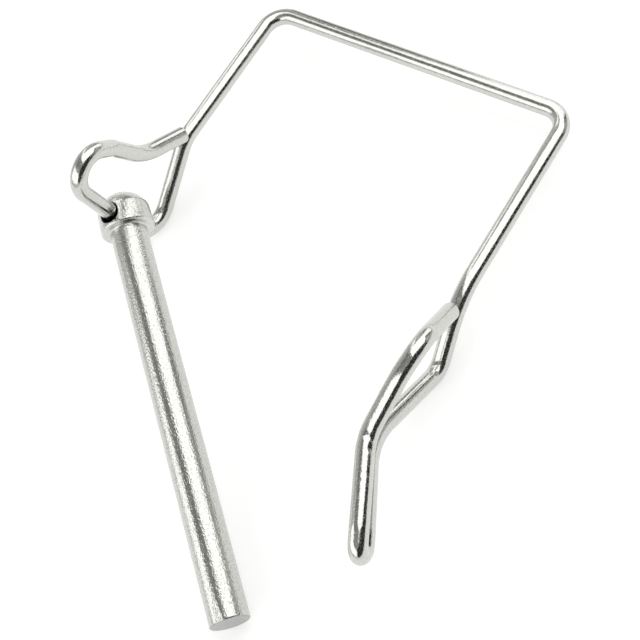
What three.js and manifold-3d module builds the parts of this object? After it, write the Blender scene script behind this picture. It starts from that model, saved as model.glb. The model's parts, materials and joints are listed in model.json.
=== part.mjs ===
// Coupler safety pin: a headed steel lock pin that swings on a bail bent from
// one length of spring wire. The pin goes through a coupler's latch, and the
// eye at the far side of the bail snaps over the pin's free end to hold it.
// The open assembly lies where it was put down, on a surface at z = 0.

import * as THREE from 'three';
import { mergeVertices } from 'three/addons/utils/BufferGeometryUtils.js';
import ManifoldModule from 'manifold-3d';

const X = new THREE.Vector3(1, 0, 0);
const Z = new THREE.Vector3(0, 0, 1);

// Driving dimensions, in millimetres and degrees.
//
// The bail's own frame has its origin where the wire goes through the middle
// of the pin's head. +X points from the hinge leg to the eye leg, +Y to the
// top bar, and +Z away from the surface that the bail lies on.

const wire = {
  diameter: 2.9,
  lap: 0.12, // air left between two lengths of the wire that lie together
  sides: 24,
  arcStep: 10, // most degrees of bend between two sections
};

const pin = {
  diameter: 6.35,
  past: 11.3, // free end past the eye leg when shut
  endRounding: 0.6, // left round the free end by shearing
  sides: 44,
};

const head = {
  rimDiameter: 9.15,
  domeDiameter: 8.95, // where the dome meets the side
  crown: 4.6, // hinge to the top of the dome
  dome: 3.2, // height of the dome
  rim: 2.2, // hinge to the widest rim
  rimRounding: 0.4,
  underside: 0.5, // rim to the shank
};

const hinge = {
  play: 0.7, // how much wider the cross hole is than the wire
  offset: 0.5, // cross hole to one side of the pin's axis
  slack: 0.2, // wire to the same side of the cross hole's middle
  mouth: 0.5, // easing round both mouths of the cross hole
  lean: 10.9, // tilt of the hinge wire from the legs' normal
  swing: 42.75, // how far the pin hangs open from its closed place
};

const bail = {
  level: -1.1, // height of the legs' centre lines
  span: 58.9, // between the legs' centre lines
  height: 49, // hinge to the top bar's centre line
  cornerRadius: 4,
};

// The loop that carries the pin, bent in the plane x = 0. Each place is where
// two straight lengths would meet, and the radius is the one bent there.
const loop = {
  end: { y: 19.1, sideways: 1 }, // the sheared end, pressed on the hinge leg
  dip: { y: 10.1, z: 5.8, radius: 10 },
  brow: { y: 6.1, z: 13.6, radius: 4.3 },
  crown: { above: 20.7, radius: 3.85 }, // top of the hinge wire, from the head
  heel: { below: 7.5, radius: 5 }, // bottom of the hinge wire, from the head
  foot: { y: 18.8, radius: 6 }, // start of the hinge leg
};

// The eye that takes the pin, and the finger tab past it. The wire goes down
// round the pin to the tab's end, turns back and comes up over the pin. Each
// sideways is how far the wire is from the eye leg's plane, away from the loop.
const eye = {
  seat: { y: 2.35, z: -2 }, // the pin's axis when shut
  play: 0.45, // air round the shut pin
  start: { y: 12.6, radius: 15.5 }, // end of the eye leg
  bottom: { sideways: 0.9, radius: 3.4 },
  neck: { y: -14, z: 1.4, sideways: 0.5, radius: 12 },
  upperNeck: { y: -15.1, z: 6.3, sideways: 1.65, radius: 11.4 },
  top: { y: -1.1, above: 2.3, sideways: 1.3, radius: 24 }, // above the pin's air
  brow: { y: 5.4, above: 2.9, sideways: 1.9, radius: 5 }, // where it turns down
  end: { y: 10.8, sideways: 0.2 }, // the sheared end, resting on the eye leg
};
// The end of the tab. Its twist leans the upper length over towards the pin.
const tab = { flare: 9.35, y: -29.75, z: 2.3, twist: 7 };

const wireRadius = wire.diameter / 2;
const pitch = wire.diameter + wire.lap;
const holeRadius = (wire.diameter + hinge.play) / 2;
const headRadius = head.rimDiameter / 2;
const reach = bail.span + pin.past; // hinge to free end
const seatRadius = pin.diameter / 2 + eye.play + wireRadius; // to the eye's centre line

const zincPlate = new THREE.MeshStandardMaterial({
  name: 'bright_zinc_plate', color: 0xc4c5bf, roughness: 0.22, metalness: 1,
});
const dullZincPlate = new THREE.MeshStandardMaterial({
  name: 'dull_zinc_plate', color: 0xb6b7b1, roughness: 0.38, metalness: 1,
});

// The centre line of a bent wire: straight lengths between bends, with a
// station at the ends of each straight length and every few degrees of bend.
class BentWire extends THREE.Curve {
  constructor(bends) {
    super();
    this.stations = [bends[0].point];
    for (let i = 1; i < bends.length - 1; i++) {
      this.addBend(bends[i - 1].point, bends[i], bends[i + 1].point);
    }
    this.stations.push(bends.at(-1).point);
  }

  addBend(before, { point: corner, radius }, after) {
    const back = before.clone().sub(corner).normalize();
    const on = after.clone().sub(corner).normalize();
    const bend = Math.PI - back.angleTo(on);
    const start = corner.clone().addScaledVector(back, radius * Math.tan(bend / 2));
    const middle = back.clone().add(on).normalize();
    const centre = corner.clone().addScaledVector(middle, radius / Math.cos(bend / 2));
    const arm = start.clone().sub(centre);
    const axis = on.clone().cross(back).normalize();
    const steps = Math.max(1, Math.ceil(THREE.MathUtils.radToDeg(bend) / wire.arcStep));
    for (let k = 0; k <= steps; k++) {
      const turned = arm.clone().applyAxisAngle(axis, (bend * k) / steps);
      this.addStation(centre.clone().add(turned));
    }
  }

  // Two bends may meet with no straight length between them.
  addStation(point) {
    if (point.distanceTo(this.stations.at(-1)) > 0.01) this.stations.push(point);
  }

  get steps() {
    return this.stations.length - 1;
  }

  getPointAt(u, target = new THREE.Vector3()) {
    return target.copy(this.stations[Math.round(u * this.steps)]);
  }

  getPoint(t, target) {
    return this.getPointAt(t, target);
  }

  // The direction halfway between the lengths before and after a station, so
  // that the section there is a true mitre.
  getTangentAt(u, target = new THREE.Vector3()) {
    const i = Math.round(u * this.steps);
    const here = this.stations[i];
    target.set(0, 0, 0);
    if (i > 0) target.add(here.clone().sub(this.stations[i - 1]).normalize());
    if (i < this.steps) target.add(this.stations[i + 1].clone().sub(here).normalize());
    return target.normalize();
  }
}

function bend(x, y, z, radius) {
  return { point: new THREE.Vector3(x, y, z), radius };
}

// A point that lies on top of a wire where the wire passes the given y. The
// wire runs nearly along y there, and the two touch but for the lap.
function restingOn(curve, { y, sideways }) {
  const after = curve.stations.findIndex((p, i, all) => i > 0 && (p.y - y) * (all[i - 1].y - y) <= 0);
  const [a, b] = [curve.stations[after - 1], curve.stations[after]];
  const up = new THREE.Vector3(0, a.z - b.z, b.y - a.y).normalize();
  if (up.z < 0) up.negate();
  const rise = Math.sqrt(pitch ** 2 - sideways ** 2);
  const under = a.clone().lerp(b, (y - a.y) / (b.y - a.y));
  return under.addScaledVector(up, rise).addScaledVector(X, sideways);
}

function bendOfHingeWire(z, radius) {
  return bend(0, -z * Math.tan(THREE.MathUtils.degToRad(hinge.lean)), z, radius);
}

// The way along (y, z) from a bend of the eye to where the wire just clears
// the shut pin, on the side given as 1 or -1.
function pastThePin({ point }, side) {
  const toSeat = new THREE.Vector2(eye.seat.y - point.y, eye.seat.z - point.z);
  const angle = toSeat.angle() + side * Math.asin(seatRadius / toSeat.length());
  return new THREE.Vector2(Math.cos(angle), Math.sin(angle));
}

// Where the length that comes down from the eye leg meets the one that goes
// up to the neck, both just clear of the pin above them.
function eyeBottom(start, neck) {
  const down = pastThePin(start, 1);
  const up = pastThePin(neck, -1);
  const [y, z] = [neck.point.y - start.point.y, neck.point.z - start.point.z];
  const along = (y * up.y - z * up.x) / (down.x * up.y - down.y * up.x);
  const at = start.point;
  const x = bail.span + eye.bottom.sideways;
  return bend(x, at.y + along * down.x, at.z + along * down.y, eye.bottom.radius);
}

// The whole wire as its bends, from the sheared end in the hinge loop to the
// sheared end over the eye.
function bailBends() {
  const { level, span, height, cornerRadius } = bail;
  const heel = bendOfHingeWire(-headRadius - loop.heel.below, loop.heel.radius);
  const crown = bendOfHingeWire(headRadius + loop.crown.above, loop.crown.radius);
  const foot = bend(0, loop.foot.y, level, loop.foot.radius);
  const near = bend(0, height, level, cornerRadius);
  const far = bend(span, height, level, cornerRadius);
  const start = bend(span, eye.start.y, level, eye.start.radius);
  const neck = bend(span + eye.neck.sideways, eye.neck.y, eye.neck.z, eye.neck.radius);
  const bottom = eyeBottom(start, neck);
  const overPin = eye.seat.z + seatRadius; // least height of a wire over the pin
  const hingeLeg = new BentWire([heel, foot, near]);
  const eyeLeg = new BentWire([far, start, bottom, neck]);

  // The turn at the tab's end: two quarter bends, across both of its lengths.
  const tabEnd = new THREE.Vector3(span + tab.flare, tab.y, tab.z);
  const outward = tabEnd.clone().sub(neck.point).normalize();
  const across = outward.clone().cross(X).normalize().multiplyScalar(pitch);
  across.applyAxisAngle(outward, THREE.MathUtils.degToRad(tab.twist));

  return [
    { point: restingOn(hingeLeg, loop.end) },
    bend(0, loop.dip.y, loop.dip.z, loop.dip.radius),
    bend(0, loop.brow.y, loop.brow.z, loop.brow.radius),
    crown,
    heel,
    foot,
    near,
    far,
    start,
    bottom,
    neck,
    { point: tabEnd, radius: pitch / 2 },
    { point: tabEnd.clone().add(across), radius: pitch / 2 },
    bend(span + eye.upperNeck.sideways, eye.upperNeck.y, eye.upperNeck.z, eye.upperNeck.radius),
    bend(span + eye.top.sideways, eye.top.y, overPin + eye.top.above, eye.top.radius),
    bend(span + eye.brow.sideways, eye.brow.y, overPin + eye.brow.above, eye.brow.radius),
    { point: restingOn(eyeLeg, eye.end) },
  ];
}

function makeBail() {
  const path = new BentWire(bailBends());
  const section = new THREE.Shape().absarc(0, 0, wireRadius, 0, 2 * Math.PI);
  const geometry = new THREE.ExtrudeGeometry(section, {
    steps: path.steps,
    curveSegments: wire.sides / 2,
    bevelEnabled: false,
    extrudePath: path,
  });
  const mesh = new THREE.Mesh(geometry, zincPlate);
  mesh.name = 'wire_bail';
  return mesh;
}

const wasm = await ManifoldModule();
wasm.setup();

function toSolid(geometry) {
  const bare = geometry.clone();
  bare.deleteAttribute('normal');
  bare.deleteAttribute('uv');
  const merged = mergeVertices(bare, 1e-5);
  return new wasm.Manifold(new wasm.Mesh({
    numProp: 3,
    vertProperties: new Float32Array(merged.attributes.position.array),
    triVerts: new Uint32Array(merged.index.array),
  }));
}

function toGeometry(solid) {
  const { vertProperties, triVerts } = solid.getMesh();
  const geometry = new THREE.BufferGeometry();
  geometry.setAttribute('position', new THREE.BufferAttribute(vertProperties, 3));
  geometry.setIndex(new THREE.BufferAttribute(triVerts, 1));
  geometry.computeVertexNormals();
  return geometry;
}

// Points of a round corner from one point to another, about a centre.
function arcPoints(x, y, radius, fromDegrees, toDegrees, steps) {
  const from = THREE.MathUtils.degToRad(fromDegrees);
  const sweep = THREE.MathUtils.degToRad(toDegrees - fromDegrees);
  return Array.from({ length: steps + 1 }, (_, k) => {
    const angle = from + (sweep * k) / steps;
    return new THREE.Vector2(x + radius * Math.cos(angle), y + radius * Math.sin(angle));
  });
}

// Half of the pin's outline as (radius, height above the hinge), from the
// middle of the free end to the top of the dome. The free end is downwards.
function pinOutline() {
  const shank = pin.diameter / 2;
  const round = pin.endRounding;
  const side = head.domeDiameter / 2;
  const shoulder = head.crown - head.dome;
  const domeRadius = (side ** 2 + head.dome ** 2) / (2 * head.dome);
  const domeEdge = THREE.MathUtils.radToDeg(Math.asin((domeRadius - head.dome) / domeRadius));
  const soft = head.rimRounding;
  return [
    new THREE.Vector2(0, -reach),
    ...arcPoints(shank - round, -reach + round, round, -90, 0, 4),
    new THREE.Vector2(shank, -head.rim - head.underside),
    ...arcPoints(headRadius - soft, -head.rim, soft, -60, 0, 2),
    new THREE.Vector2(side, shoulder),
    ...arcPoints(0, head.crown - domeRadius, domeRadius, domeEdge, 90, 7).slice(1, -1),
    new THREE.Vector2(0, head.crown),
  ];
}

// The cross hole with its eased mouths, a little longer than the head's width.
function crossHoleOutline() {
  const mouth = headRadius - hinge.mouth;
  const end = headRadius + hinge.mouth;
  const flare = end - mouth;
  return [
    new THREE.Vector2(0, -end),
    new THREE.Vector2(holeRadius + flare, -end),
    new THREE.Vector2(holeRadius, -mouth),
    new THREE.Vector2(holeRadius, mouth),
    new THREE.Vector2(holeRadius + flare, end),
    new THREE.Vector2(0, end),
  ];
}

// The pin with its axis along +X from head to free end, and its cross hole
// along Z through the origin.
function makePin() {
  const turned = new THREE.LatheGeometry(pinOutline(), pin.sides);
  turned.rotateZ(Math.PI / 2);
  turned.translate(0, hinge.offset, 0);
  const hole = new THREE.LatheGeometry(crossHoleOutline(), 28);
  hole.rotateX(Math.PI / 2);
  const mesh = new THREE.Mesh(toGeometry(toSolid(turned).subtract(toSolid(hole))), dullZincPlate);
  mesh.name = 'lock_pin';
  mesh.position.y = hinge.slack;
  return mesh;
}

// The bail in its own frame, with the pin swung open on the hinge wire.
function makeAssembly() {
  const swing = new THREE.Group();
  swing.rotation.z = THREE.MathUtils.degToRad(-hinge.swing);
  swing.add(makePin());
  const hingeWire = new THREE.Group();
  hingeWire.rotation.x = THREE.MathUtils.degToRad(hinge.lean);
  hingeWire.add(swing);
  const assembly = new THREE.Group();
  assembly.add(makeBail(), hingeWire);
  return assembly;
}

function worldPoints(root, keep) {
  root.updateMatrixWorld(true);
  const points = [];
  root.traverse((mesh) => {
    if (!mesh.isMesh) return;
    const position = mesh.geometry.attributes.position;
    for (let i = 0; i < position.count; i++) {
      const local = new THREE.Vector3().fromBufferAttribute(position, i);
      if (keep(mesh, local)) points.push(local.applyMatrix4(mesh.matrixWorld));
    }
  });
  return points;
}

function lowest(points) {
  return points.reduce((low, p) => (p.z < low.z ? p : low));
}

// Turns the assembly until it lies on its three feet: the hinge loop's heel,
// the bottom of the eye and the pin. The lowest point of each changes a
// little as it turns, so it is done again until it settles.
function layDown(assembly) {
  const isHeel = (mesh, p) => mesh.name === 'wire_bail' && p.x < bail.span / 2;
  const isEye = (mesh, p) => mesh.name === 'wire_bail' && p.x >= bail.span / 2;
  const isPin = (mesh) => mesh.name === 'lock_pin';
  for (let i = 0; i < 6; i++) {
    const feet = [isHeel, isEye, isPin].map((keep) => lowest(worldPoints(assembly, keep)));
    const up = feet[1].clone().sub(feet[0]).cross(feet[2].clone().sub(feet[0])).normalize();
    if (up.z < 0) up.negate();
    assembly.quaternion.premultiply(new THREE.Quaternion().setFromUnitVectors(up, Z));
  }
}

const couplerSafetyPin = makeAssembly();
layDown(couplerSafetyPin);
const box = new THREE.Box3().setFromPoints(worldPoints(couplerSafetyPin, () => true));
const middle = box.getCenter(new THREE.Vector3());
couplerSafetyPin.position.set(-middle.x, -middle.y, -box.min.z);

export default couplerSafetyPin;
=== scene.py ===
"""The looks of a coupler safety pin: a zinc-plated lock pin open on its wire bail.

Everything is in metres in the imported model's frame. The fine wire and the fine
pin are made in millimetres, in the bail's own frame and the pin's own frame, and
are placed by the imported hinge. Their sizes are the CAD's, but for the few that a
closer look at the photo changed.
"""

import json
import math

import bpy
import numpy as np
from mathutils import Matrix, Quaternion, Vector


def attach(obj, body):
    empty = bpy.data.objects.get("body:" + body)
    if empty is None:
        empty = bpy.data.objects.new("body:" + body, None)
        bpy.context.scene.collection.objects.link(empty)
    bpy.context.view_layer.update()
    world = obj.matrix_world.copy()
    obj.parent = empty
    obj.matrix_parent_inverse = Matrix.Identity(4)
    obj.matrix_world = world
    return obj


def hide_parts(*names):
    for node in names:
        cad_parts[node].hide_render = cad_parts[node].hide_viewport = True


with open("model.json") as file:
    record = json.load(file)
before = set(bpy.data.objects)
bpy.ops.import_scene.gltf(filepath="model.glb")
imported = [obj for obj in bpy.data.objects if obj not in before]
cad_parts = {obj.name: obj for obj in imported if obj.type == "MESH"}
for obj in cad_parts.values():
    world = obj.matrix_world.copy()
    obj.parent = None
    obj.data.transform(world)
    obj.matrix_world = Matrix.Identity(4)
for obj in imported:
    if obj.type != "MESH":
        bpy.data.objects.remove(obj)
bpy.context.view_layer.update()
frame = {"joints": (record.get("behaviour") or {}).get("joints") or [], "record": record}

MM = 0.001

# The CAD's sizes, in millimetres and degrees.
WIRE_RADIUS = 1.45
PITCH = 3.02            # between the centre lines of two lengths that lie together
PIN_RADIUS = 3.175
PIN_REACH = 70.2        # hinge to free end
RIM_RADIUS = 4.575
RIM_EDGE = 0.4          # rounding of the rim
SIDE_RADIUS = 4.475     # head, where the dome meets the side
CROWN = 4.6             # hinge to the top of the dome
DOME = 3.2
RIM = 2.2               # hinge to the widest rim
UNDERSIDE = 0.5
HOLE_RADIUS = 1.8
HOLE_OFFSET = 0.5       # cross hole to one side of the pin's axis
SLACK = 0.2             # wire to the same side of the cross hole's middle
LEAN = 10.9             # hinge wire from the legs' normal
SWING = 42.75           # how far the pin hangs open
LEVEL = -1.1            # height of the legs
SPAN = 58.9
HEIGHT = 49.0
CORNER = 4              # bends at the top bar's two ends
TAB_TWIST = 7           # how far the tab's upper length leans over towards the pin
SEAT_Y, SEAT_Z = 2.35, -2.0     # the shut pin's axis in the eye
SEAT_RADIUS = 5.075     # shut pin's axis to the eye's centre line

# What the photo shows and the CAD has otherwise or not at all, in the same units.
HOLE_ALONG = 0.15       # cross hole's middle, towards the free end
HOLE_ACROSS = -0.42     # and across the pin
HOLE_FLARE = 0.14       # how much wider the cross hole is at its mouths
NECK_EDGE = 0.25        # rounding where the shank meets the head
END_ROUNDING = 0.25
END_TILT, END_TILT_ANGLE = 5, 62    # free end out of square, and towards which side
FACET_ANGLE, FACET_START, FACET_DEPTH = 97, 65.8, 0.11      # flat beside the free end

# Tool marks on the wire: where, how deep, and their reach along and across it.
NICKS = [
    (63.4, -20.1, 7.4, 0.05, 0.20, 0.35),
    (63.3, -21.2, 7.3, 0.05, 0.20, 0.35),
    (61.0, -15.1, 7.6, 0.10, 0.25, 0.80),
    (61.9, -15.2, 7.2, 0.07, 0.30, 0.50),
    (62.3, -16.4, 7.2, 0.07, 0.35, 0.35),
    (59.8, 1.2, -5.6, 0.035, 0.20, 1.60),
]

# A sheared wire end: share of the radius, and how far back from the face.
WIRE_END = ((0.30, 0.0), (0.86, 0.0), (0.94, 0.03), (0.985, 0.10), (1.0, 0.22))

# How finely the round shapes are divided.
WIRE_SIDES, PIN_SIDES, HOLE_SIDES, ROOM_SIDES = 44, 144, 72, 48
AXIS = 0.02             # the pin's outline starts and ends this near its axis

# The camera, in metres and degrees, with a lens in millimetres on its sensor.
CAMERA_AT = (0.0868887, -0.0384747, 0.1660161)
CAMERA_AIM = (0.0041763, 0.0008516, 0.0)
CAMERA_ROLL = -36.18
LENS, SENSOR = 64.6875, 36

# Linear colours of the metal, among them a painted reflection under the head and painted shade in
# the cross hole.
BRIGHT_ZINC = (0.61, 0.615, 0.585, 1)
WIRE_SPECK = (0.53, 0.535, 0.505, 1)
PIN_SPECK = (0.47, 0.475, 0.45, 1)
# Painted reflection: lighter than the plate, standing in for the light that the face under the
# head reflects.
PAINTED_UNDERSIDE_REFLECTION = (0.66, 0.665, 0.64, 1)
SHEARED_STEEL = (0.36, 0.36, 0.35, 1)
# Painted shade: near black for the inside of the cross hole, where little light reaches.
PAINTED_HOLE_SHADE = (0.03, 0.03, 0.028, 1)

# The studio, in metres. Strength 1 renders as white.
FLOOR_HALF = 2
FLOOR_DROP = 0.0001     # the pin's sheared edge reaches just below zero
FLOOR_GLOW = 0.56
ROOM_RADIUS = 1.9
ROOM_RINGS = (-1, 20, 45, 70, 89)       # elevations of its rings, in degrees
BOARD_DISTANCE = 0.45
BOARDS = [      # name, azimuth, elevation, width and height in degrees, strength
    ("top box", 75, 61.5, 62, 55, 1.85),
    ("back box", 93, 23, 32, 32, 1.6),
    ("left box", -108, 34, 80, 38, 1.75),
    ("strip", 149.7, 38.8, 10, 45, 1.6),
    ("dark side", -6.6, 30.2, 100, 50, 0.04),
    ("grey back", 51, 14.5, 28, 19, 0.5),
    ("dark back", 71, 19, 12, 28, 0.12),
    ("dark top", -157, 64.8, 30, 25, 0.25),
    ("dark corner", 116, 17, 13, 22, 0.2),
]


# ---------------------------------------------------------------- placing

def hinge_frame():
    """The bail's own frame and the pin's own frame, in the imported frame."""
    joint = frame["joints"][0]
    mount = frame["record"]["mounts"][0]
    at = Vector(joint["pos_m"])
    axis = Vector(joint["axis"]).normalized()
    along = Vector(mount["axis"])
    along = (along - axis * along.dot(axis)).normalized()
    side = axis.cross(along)
    pin = Matrix((along, side, axis)).transposed()
    lean = Matrix.Rotation(math.radians(LEAN), 3, "X")
    swing = Matrix.Rotation(math.radians(-SWING), 3, "Z")
    bail = pin @ (lean @ swing).inverted()
    bail = Matrix.Translation(at) @ bail.to_4x4() @ Matrix.Scale(MM, 4)
    pin = Matrix.Translation(at + side * SLACK * MM) @ pin.to_4x4() @ Matrix.Scale(MM, 4)
    return bail, pin


BAIL_FRAME, PIN_FRAME = hinge_frame()


def camera():
    data = bpy.data.cameras.new("camera")
    data.sensor_width = SENSOR
    data.lens = LENS
    data.clip_start = 0.01
    data.dof.use_dof = False
    cam = bpy.data.objects.new("camera", data)
    bpy.context.scene.collection.objects.link(cam)
    turn = (Vector(CAMERA_AIM) - Vector(CAMERA_AT)).to_track_quat("-Z", "Y")
    cam.location = CAMERA_AT
    cam.rotation_mode = "QUATERNION"
    cam.rotation_quaternion = turn @ Quaternion((0, 0, 1), math.radians(CAMERA_ROLL))
    bpy.context.scene.camera = cam


# ---------------------------------------------------------------- the wire

class Bend:
    """Where two straight lengths would meet, and the radius that is bent there."""

    def __init__(self, x, y, z, radius=0.0):
        self.at = Vector((x, y, z))
        self.radius = radius


def centre_line(bends, step=0.25):
    """Points along a bent wire, closer together than step."""
    points = [bends[0].at.copy()]

    def straight_to(p):
        last = points[-1]
        n = max(1, math.ceil((p - last).length / step))
        points.extend(last.lerp(p, k / n) for k in range(1, n + 1))

    for before, corner, after in zip(bends, bends[1:], bends[2:]):
        back = (before.at - corner.at).normalized()
        on = (after.at - corner.at).normalized()
        turn = math.pi - back.angle(on)
        start = corner.at + back * corner.radius * math.tan(turn / 2)
        middle = (back + on).normalized()
        centre = corner.at + middle * corner.radius / math.cos(turn / 2)
        axis = on.cross(back).normalized()
        if (start - points[-1]).length > 0.01:
            straight_to(start)
        n = max(4, math.ceil(turn * corner.radius / step))
        for k in range(1, n + 1):
            arm = start - centre
            arm.rotate(Quaternion(axis, turn * k / n))
            points.append(centre + arm)
    straight_to(bends[-1].at)
    return points


def resting_on(points, y, sideways):
    """A point on top of a wire where the wire passes y."""
    pairs = zip(points, points[1:])
    a, b = next((a, b) for a, b in pairs if (b.y - y) * (a.y - y) <= 0)
    up = Vector((0, a.z - b.z, b.y - a.y)).normalized()
    if up.z < 0:
        up.negate()
    rise = math.sqrt(PITCH ** 2 - sideways ** 2)
    return a.lerp(b, (y - a.y) / (b.y - a.y)) + up * rise + Vector((sideways, 0, 0))


def eye_bottom(start, neck):
    """The eye's lowest bend, where both lengths just clear the shut pin."""
    def past(bend, side):
        """The direction from a bend that just clears the pin on one side."""
        to_seat = Vector((SEAT_Y - bend.at.y, SEAT_Z - bend.at.z))
        angle = math.atan2(to_seat.y, to_seat.x)
        angle += side * math.asin(SEAT_RADIUS / to_seat.length)
        return Vector((math.cos(angle), math.sin(angle)))

    down, up = past(start, 1), past(neck, -1)
    y, z = neck.at.y - start.at.y, neck.at.z - start.at.z
    along = (y * up.y - z * up.x) / (down.x * up.y - down.y * up.x)
    at_y, at_z = start.at.y + along * down.x, start.at.z + along * down.y
    return Bend(SPAN + 0.9, at_y, at_z, 3.4)


def bail_bends():
    """The wire's bends, from its end on the hinge leg to its end on the eye's leg."""
    lean = math.tan(math.radians(LEAN))
    heel_z, crown_z = -RIM_RADIUS - 7.5, RIM_RADIUS + 20.7
    heel = Bend(0, -heel_z * lean, heel_z, 5)
    crown = Bend(0, -crown_z * lean, crown_z, 3.85)
    loop_brow = Bend(0, 6.1, 13.6, 4.3)
    dip = Bend(0, 10.1, 5.8, 10)
    foot = Bend(0, 18.8, LEVEL, 6)
    near = Bend(0, HEIGHT, LEVEL, CORNER)
    far = Bend(SPAN, HEIGHT, LEVEL, CORNER)
    start = Bend(SPAN, 12.6, LEVEL, 15.5)
    neck = Bend(SPAN + 0.5, -14, 1.4, 12)
    bottom = eye_bottom(start, neck)

    # The finger tab is folded back over itself, and its two lengths lie together.
    curl = Bend(SPAN + 7.58, -26.6, 2.12, 6)
    fold = Bend(SPAN + 8.88, -29.45, 1.3, PITCH / 2)
    outward = (curl.at - neck.at).normalized()
    across = outward.cross(Vector((1, 0, 0))).normalized() * PITCH
    across.rotate(Quaternion(outward, math.radians(TAB_TWIST)))
    upper_fold = Bend(*(fold.at + across), PITCH / 2)
    upper_curl = Bend(*(curl.at + across), 6)

    over_pin = SEAT_Z + SEAT_RADIUS
    upper_neck = Bend(SPAN + 1.65, -15.1, 6.3, 11.4)
    eye_top = Bend(SPAN + 1.27, -5.0, over_pin + 3.7, 10)
    eye_brow = Bend(SPAN + 2.05, 0.6, over_pin + 5.3, 5.5)

    # Both ends lie on their own legs.
    hinge_leg = centre_line([heel, foot, near])
    eye_leg = centre_line([far, start, bottom, neck])
    end_1 = Bend(*resting_on(hinge_leg, 19.1, 1.0))
    end_2 = Bend(*resting_on(eye_leg, 10.8, 0.2))
    return [end_1, dip, loop_brow, crown, heel, foot, near, far, start, bottom, neck, curl,
            fold, upper_fold, upper_curl, upper_neck, eye_top, eye_brow, end_2]


def around(sides):
    return np.arange(sides) * 2 * math.pi / sides


def rings(points, sides):
    """The points as an array, the wire's direction at each, and the ways out of it."""
    p = np.array(points)
    t = np.gradient(p, axis=0)
    t /= np.linalg.norm(t, axis=1)[:, None]
    out = []
    not_along = (0.3, 0.5, 0.8)
    n = Vector(np.cross(t[0], not_along)).normalized()
    last = Vector(t[0])
    for direction in t:
        here = Vector(direction)
        n.rotate(last.rotation_difference(here))
        n = (n - here * n.dot(here)).normalized()
        b = here.cross(n)
        a = around(sides)
        out.append(np.outer(np.cos(a), n) + np.outer(np.sin(a), b))
        last = here
    return p, t, np.array(out)


def tube(rows, sides):
    """The faces between rows of vertices that go round."""
    for i in range(rows - 1):
        here, beyond = i * sides, (i + 1) * sides
        for k in range(sides):
            j = (k + 1) % sides
            yield (here + k, here + j, beyond + j, beyond + k)


def mesh_object(name, vertices, faces, straight, matrix, material):
    """A smooth piece. "straight" is each vertex's place on the unbent part."""
    data = bpy.data.meshes.new(name)
    data.from_pydata([tuple(matrix @ Vector(v)) for v in vertices], [], faces)
    data.attributes.new("straight", "FLOAT_VECTOR", "POINT").data.foreach_set(
        "vector", np.asarray(straight, np.float32).ravel())
    data.materials.append(material)
    data.validate()
    piece = bpy.data.objects.new(name, data)
    bpy.context.scene.collection.objects.link(piece)
    for polygon in data.polygons:
        polygon.use_smooth = True
    return piece


def nick(vertices, directions, radius):
    """Takes the tool marks out of the wire's radius at each vertex."""
    for *place, depth, along, across in NICKS:
        away = vertices - np.array(place)
        run = (away * directions[:, None]).sum(-1)
        off = (away ** 2).sum(-1) - run ** 2
        radius -= depth * np.exp(-run ** 2 / (2 * along ** 2) - off / (2 * across ** 2))


def make_wire(material):
    p, t, out = rings(centre_line(bail_bends()), WIRE_SIDES)
    length = np.concatenate([[0], np.cumsum(np.linalg.norm(np.diff(p, axis=0), axis=1))])
    radius = np.full((len(p), WIRE_SIDES), WIRE_RADIUS)
    nick(p[:, None] + out * radius[..., None], t, radius)
    v = p[:, None] + out * radius[..., None]
    angle = around(WIRE_SIDES)
    straight = np.stack([
        np.broadcast_to(np.cos(angle) * WIRE_RADIUS, radius.shape),
        np.broadcast_to(np.sin(angle) * WIRE_RADIUS, radius.shape),
        np.broadcast_to(length[:, None], radius.shape)], -1)

    def sheared_end(i, way):
        """Rings from near the middle of a flat end face to its rounded edge."""
        for share, back in WIRE_END:
            coords = straight[i].copy()
            coords[:, :2] *= share
            coords[:, 2] -= way * back
            yield p[i] + out[i] * WIRE_RADIUS * share - way * t[i] * back, coords

    rows = [*sheared_end(0, -1), *zip(v[1:-1], straight[1:-1]), *reversed([*sheared_end(-1, 1)])]
    vertices = np.concatenate([ring for ring, _ in rows] + [p[:1], p[-1:]])
    middles = np.array([[0, 0, 0], [0, 0, length[-1]]])
    coords = np.concatenate([c for _, c in rows] + [middles])
    faces = list(tube(len(rows), WIRE_SIDES))
    first = len(rows) * WIRE_SIDES
    last_ring = first - WIRE_SIDES
    for k in range(WIRE_SIDES):
        j = (k + 1) % WIRE_SIDES
        faces.append((first, j, k))
        faces.append((first + 1, last_ring + k, last_ring + j))
    return mesh_object("fine_wire_bail", vertices, faces, coords, BAIL_FRAME, material)


# ---------------------------------------------------------------- the pin

def arc(x, y, radius, start, end, steps):
    angles = [math.radians(start + (end - start) * k / steps) for k in range(steps + 1)]
    return [(x + radius * math.cos(a), y + radius * math.sin(a)) for a in angles]


def dense(a, b, step):
    """The points after a on a straight length from a to b."""
    n = max(1, math.ceil(math.dist(a, b) / step))
    return [(a[0] + (b[0] - a[0]) * k / n, a[1] + (b[1] - a[1]) * k / n)
            for k in range(1, n + 1)]


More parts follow.
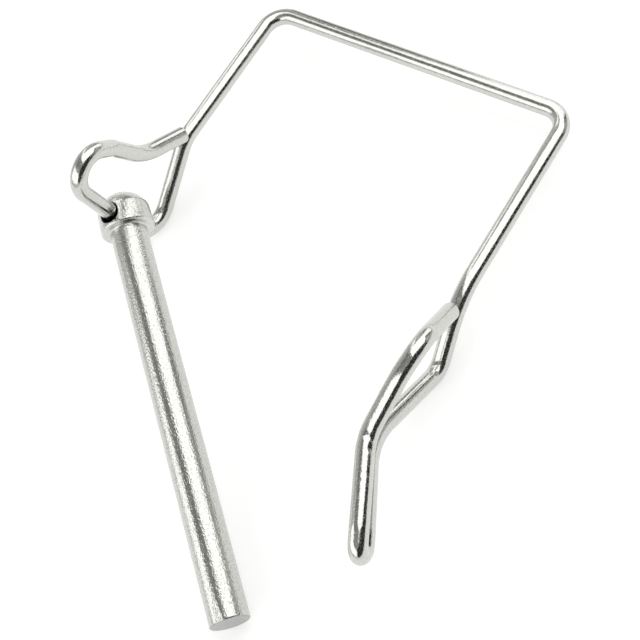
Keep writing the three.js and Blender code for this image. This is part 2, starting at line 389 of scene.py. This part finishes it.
def pin_outline():
    """Half the pin's outline as (radius, height above the hinge)."""
    shoulder = (SIDE_RADIUS, CROWN - DOME)
    dome = (SIDE_RADIUS ** 2 + DOME ** 2) / (2 * DOME)
    edge = math.degrees(math.asin((dome - DOME) / dome))
    middle = (0.3, -PIN_REACH)
    end = arc(PIN_RADIUS - END_ROUNDING, -PIN_REACH + END_ROUNDING, END_ROUNDING, -90, 0, 8)
    neck = arc(PIN_RADIUS + NECK_EDGE, -RIM - UNDERSIDE - 0.15, NECK_EDGE, 180, 100, 6)
    rim = arc(RIM_RADIUS - RIM_EDGE, -RIM, RIM_EDGE, -75, 8, 8)
    return [
        (AXIS, -PIN_REACH), middle,
        *dense(middle, end[0], 0.5), *end[1:],
        *dense(end[-1], neck[0], 0.8), *neck[1:],
        *dense(neck[-1], rim[0], 0.3), *rim[1:],
        *dense(rim[-1], shoulder, 0.25),
        *arc(0, CROWN - dome, dome, edge, 90, 26)[1:-1],
        (AXIS, CROWN),
    ]


def lathe(outline, sides):
    """Vertices and faces turned round +X, with closed ends.

    The faces look outwards where the outline runs towards -X, which is upwards."""
    v = [(-h, r * math.cos(q), r * math.sin(q)) for r, h in outline for q in around(sides)]
    n = len(outline)
    f = [face[:1] + face[:0:-1] for face in tube(n, sides)]
    f.append(tuple(range(sides)))
    f.append(tuple(reversed(range((n - 1) * sides, n * sides))))
    return np.array(v), f


def solid(name, vertices, faces):
    data = bpy.data.meshes.new(name)
    data.from_pydata([tuple(v) for v in vertices], [], faces)
    o = bpy.data.objects.new(name, data)
    bpy.context.scene.collection.objects.link(o)
    return o


def shear_free_end(v):
    """Flattens the shank beside its free end and tilts the end's face."""
    turn = np.arctan2(v[:, 2], v[:, 1]) - math.radians(FACET_ANGLE)
    depth = FACET_DEPTH * np.clip((v[:, 0] - FACET_START) / (PIN_REACH - FACET_START), 0, 1)
    flat = (PIN_RADIUS - depth) / np.maximum(np.cos(turn), 0.1)
    out = np.hypot(v[:, 1], v[:, 2])
    v[:, 1:] *= np.where(v[:, 0] > FACET_START, np.minimum(1, flat / out), 1)[:, None]
    reach = 2
    near_end = np.clip((v[:, 0] - PIN_REACH + reach) / reach, 0, 1)
    up = math.radians(END_TILT_ANGLE)
    height = v[:, 1] * math.cos(up) + v[:, 2] * math.sin(up)
    v[:, 0] -= near_end * math.tan(math.radians(END_TILT)) * height


def cross_hole():
    """The solid that is cut from the head, with a flare at both of its ends.

    Its outline runs upwards, because a cutter that is inside out cuts nothing."""
    mouth, end, wide = SIDE_RADIUS - 0.1, RIM_RADIUS + 1, HOLE_RADIUS + HOLE_FLARE
    flare = [(wide, end), (wide, mouth + 0.1), (HOLE_RADIUS + 0.04, mouth - 0.02),
             (HOLE_RADIUS, mouth - 0.14)]
    outline = [(r, -h) for r, h in flare] + [(HOLE_RADIUS, 0)] + flare[::-1]
    v, f = lathe(outline, HOLE_SIDES)
    return solid("hole", v[:, [2, 1, 0]] * (-1, 1, 1) + (HOLE_ALONG, HOLE_ACROSS, 0), f)


def make_pin(material):
    v, f = lathe(pin_outline(), PIN_SIDES)
    shear_free_end(v)
    v[:, 1] += HOLE_OFFSET
    turned, hole = solid("turned", v, f), cross_hole()
    cut = turned.modifiers.new("cross hole", "BOOLEAN")
    cut.operation = "DIFFERENCE"
    cut.solver = "EXACT"
    cut.object = hole
    whole = turned.evaluated_get(bpy.context.evaluated_depsgraph_get()).to_mesh()
    vertices = [tuple(q.co) for q in whole.vertices]
    faces = [tuple(q.vertices) for q in whole.polygons]
    for o in (turned, hole):
        bpy.data.objects.remove(o)
    return mesh_object("fine_lock_pin", vertices, faces, vertices, PIN_FRAME, material)


# ---------------------------------------------------------------- materials

class Nodes:
    """Short names for making a material's nodes."""

    def __init__(self, tree):
        self.tree = tree
        tree.nodes.clear()

    def add(self, kind, inputs=(), **settings):
        node = self.tree.nodes.new(kind)
        for name, value in settings.items():
            setattr(node, name, value)
        for name, value in dict(inputs).items():
            if isinstance(value, bpy.types.NodeSocket):
                self.tree.links.new(value, node.inputs[name])
            else:
                node.inputs[name].default_value = value
        return node

    def math(self, operation, a, b=0.0):
        return self.add("ShaderNodeMath", {0: a, 1: b}, operation=operation).outputs[0]

    def straight(self, scale=(1, 1, 1)):
        """Millimetres on the unbent part, scaled."""
        at = self.add("ShaderNodeAttribute", attribute_name="straight").outputs["Vector"]
        return self.add("ShaderNodeMapping", {"Vector": at, "Scale": scale}).outputs[0]

    def noise(self, scale, pitch=1.0, detail=1.0, roughness=0.55):
        node = self.add("ShaderNodeTexNoise", {
            "Vector": self.straight(scale), "Scale": pitch, "Detail": detail,
            "Roughness": roughness})
        return node.outputs["Fac"]

    def spread(self, value, low, high, to_low=0.0, to_high=1.0):
        """The value, with low to high stretched over to_low to to_high."""
        return self.add("ShaderNodeMapRange", {
            "Value": value, "From Min": low, "From Max": high,
            "To Min": to_low, "To Max": to_high}).outputs[0]

    def mix(self, share, low, high):
        node = self.add("ShaderNodeMix", {0: share, 6: low, 7: high}, data_type="RGBA")
        return node.outputs[2]

    def bump(self, height, strength, distance, normal=None):
        inputs = {"Height": height, "Strength": strength, "Distance": distance}
        if normal is not None:
            inputs["Normal"] = normal
        return self.add("ShaderNodeBump", inputs).outputs[0]

    def metal(self, colour, roughness, normal):
        shader = self.add("ShaderNodeBsdfPrincipled", {
            "Base Color": colour, "Metallic": 1.0, "Roughness": roughness, "Normal": normal})
        self.surface("ShaderNodeOutputMaterial", shader)

    def emission(self, colour, strength):
        return self.add("ShaderNodeEmission", {"Color": colour, "Strength": strength})

    def surface(self, kind, shader):
        self.add(kind, {"Surface": shader.outputs[0]})


def new_material(name):
    material = bpy.data.materials.new(name)
    material.use_nodes = True
    return material, Nodes(material.node_tree)


def wire_material():
    """Bright zinc plate on drawn wire: fine lines along it, and a few pits."""
    material, n = new_material("bright zinc plate")
    lines = n.noise((3.0, 3.0, 0.12), pitch=2.2, detail=4.0)
    fog = n.noise((0.5, 0.5, 0.25), detail=3.0)
    grain = n.noise((3.6, 3.6, 3.0), roughness=0.5)
    speck = n.noise((5.5, 5.5, 5.0))

    drawn = n.spread(lines, 0.3, 0.7, to_low=0.05, to_high=0.12)
    rough = n.math("ADD", drawn, n.spread(fog, 0.3, 0.7, to_low=0.0, to_high=0.05))
    rough = n.math("ADD", rough, n.spread(speck, 0.36, 0.46, to_low=0.22, to_high=0.0))

    normal = n.bump(lines, strength=0.15, distance=0.00003)
    normal = n.bump(fog, 0.25, 0.00010, normal)
    normal = n.bump(grain, 0.2, 0.00005, normal)

    n.metal(n.mix(n.spread(grain, 0.34, 0.44), WIRE_SPECK, BRIGHT_ZINC), rough, normal)
    return material


def pin_material():
    """Satin zinc plate on a drawn bar: grain and long streaks along the pin."""
    material, n = new_material("satin zinc plate")
    grain = n.noise((3.2, 4.0, 4.0), roughness=0.5)
    pepper = n.noise((4.2, 5.0, 5.0), roughness=0.6)
    streak = n.noise((0.12, 2.5, 2.5), pitch=1.4, detail=4.0)
    scratch = n.noise((0.25, 3.2, 3.2))
    along, across, up = n.add("ShaderNodeSeparateXYZ", {0: n.straight()}).outputs

    # Where things are: the head, the face under it, and the sheared end's face.
    on_head = n.spread(along, RIM - 0.4, RIM - 1.2)
    past_rim = n.spread(along, RIM + 0.05, RIM + 0.2)
    under = n.math("MULTIPLY", past_rim, n.spread(along, RIM + 0.5, RIM + 0.7, 1, 0))
    towards, lean = math.radians(END_TILT_ANGLE), math.tan(math.radians(END_TILT))
    lean_across, lean_up = lean * math.cos(towards), lean * math.sin(towards)
    tilt = n.math("ADD", n.math("MULTIPLY", across, lean_across), n.math("MULTIPLY", up, lean_up))
    square = n.math("ADD", n.math("SUBTRACT", tilt, HOLE_OFFSET * lean_across), along)
    on_end = n.spread(square, PIN_REACH - 0.12, PIN_REACH - 0.04)

    # How far from the middle of the cross hole, inside which the wall gets painted shade.
    away = n.math("SUBTRACT", along, HOLE_ALONG)
    off = n.math("SUBTRACT", across, HOLE_ACROSS)
    squares = n.math("ADD", n.math("MULTIPLY", away, away), n.math("MULTIPLY", off, off))
    outside_hole = n.spread(n.math("SQRT", squares), HOLE_RADIUS + 0.02, HOLE_RADIUS + 0.10)

    drawn = n.spread(streak, 0.3, 0.7, to_low=0.11, to_high=0.18)
    rough = n.math("ADD", drawn, n.spread(pepper, 0.36, 0.50, to_low=0.09, to_high=0.0))
    rough = n.math("ADD", rough, n.math("MULTIPLY", under, 0.12))

    coarse = n.math("MULTIPLY", grain, n.spread(on_head, 0, 1, to_low=1.0, to_high=0.3))
    normal = n.bump(coarse, strength=0.6, distance=0.00008)
    normal = n.bump(streak, 0.25, 0.00006, normal)
    normal = n.bump(n.math("MULTIPLY", scratch, on_head), 0.7, 0.00010, normal)

    plate = n.mix(n.spread(pepper, 0.36, 0.50), PIN_SPECK, BRIGHT_ZINC)
    plate = n.mix(on_end, plate, SHEARED_STEEL)
    # Painted reflection: the face under the head gets a lighter colour in place of the light it
    # reflects.
    plate = n.mix(under, plate, PAINTED_UNDERSIDE_REFLECTION)
    # Painted shade: the cross hole's wall is near black inside the hole.
    n.metal(n.mix(outside_hole, PAINTED_HOLE_SHADE, plate), rough, normal)
    return material


# ---------------------------------------------------------------- the studio

def seen(n):
    """1 for rays that see the floor or the backdrop as a picture."""
    path = n.add("ShaderNodeLightPath").outputs
    either = n.math("MAXIMUM", path["Is Camera Ray"], path["Is Glossy Ray"])
    return n.math("MAXIMUM", either, path["Is Transmission Ray"])


def backdrop():
    """White where it is seen, grey as a light."""
    world = bpy.data.worlds.new("studio")
    bpy.context.scene.world = world
    world.use_nodes = True
    n = Nodes(world.node_tree)
    grey = n.add("ShaderNodeBackground", {"Color": (0.40, 0.40, 0.39, 1), "Strength": 1.0})
    white = n.add("ShaderNodeBackground", {"Color": (1, 1, 1, 1), "Strength": 1.0})
    shares = {0: seen(n), 1: grey.outputs[0], 2: white.outputs[0]}
    n.surface("ShaderNodeOutputWorld", n.add("ShaderNodeMixShader", shares))


def table():
    """A white floor that still takes the object's shadow."""
    material, n = new_material("white table")
    paint = n.add("ShaderNodeBsdfDiffuse", {"Color": (0.6, 0.6, 0.6, 1)})
    glow = n.emission((1, 1, 1, 1), n.math("MULTIPLY", seen(n), FLOOR_GLOW))
    both = n.add("ShaderNodeAddShader", {0: paint.outputs[0], 1: glow.outputs[0]})
    n.surface("ShaderNodeOutputMaterial", both)
    floor = rectangle("floor", FLOOR_HALF, FLOOR_HALF, material)
    floor.location.z = -FLOOR_DROP


def rectangle(name, w, h, material):
    flat = solid(name, [(-w, -h, 0), (w, -h, 0), (w, h, 0), (-w, h, 0)], [(0, 1, 2, 3)])
    flat.data.materials.append(material)
    return flat


def room():
    """The grey walls and ceiling of the studio, which the metal mirrors."""
    material, n = new_material("grey room")
    place = n.add("ShaderNodeNewGeometry").outputs["Position"]
    height = n.add("ShaderNodeSeparateXYZ", {0: place}).outputs[2]
    fading = n.spread(height, 0.3, 1.8, to_low=0.66, to_high=0.32)
    n.surface("ShaderNodeOutputMaterial", n.emission((1, 1, 0.975, 1), fading))
    angles = [math.radians(e) for e in ROOM_RINGS]
    outline = [(ROOM_RADIUS * math.cos(a), ROOM_RADIUS * math.sin(a)) for a in angles]
    vertices, faces = lathe(outline, ROOM_SIDES)
    walls = solid("room", [(y, z, -x) for x, y, z in vertices], faces[:-2])
    walls.data.materials.append(material)
    walls.visible_camera = False


def card(name, azimuth, elevation, width, height, strength):
    """A flat light or dark board facing the table's middle."""
    a, e = math.radians(azimuth), math.radians(elevation)
    out = Vector((math.cos(a) * math.cos(e), math.sin(a) * math.cos(e), math.sin(e)))
    w, h = (BOARD_DISTANCE * math.tan(math.radians(x / 2)) for x in (width, height))
    material, n = new_material(name)
    n.surface("ShaderNodeOutputMaterial", n.emission((1, 1, 0.99, 1), strength))
    board = rectangle(name, w, h, material)
    board.rotation_mode = "QUATERNION"
    board.rotation_quaternion = out.to_track_quat("Z", "Y")
    board.location = out * BOARD_DISTANCE
    board.visible_camera = False


# ---------------------------------------------------------------- all of it

camera()
backdrop()
table()
room()
for board in BOARDS:
    card(*board)
bpy.context.scene.view_settings.view_transform = "Standard"

wire = make_wire(wire_material())
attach(wire, "bail")
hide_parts("wire_bail")

pin = make_pin(pin_material())
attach(pin, "pin")
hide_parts("lock_pin")
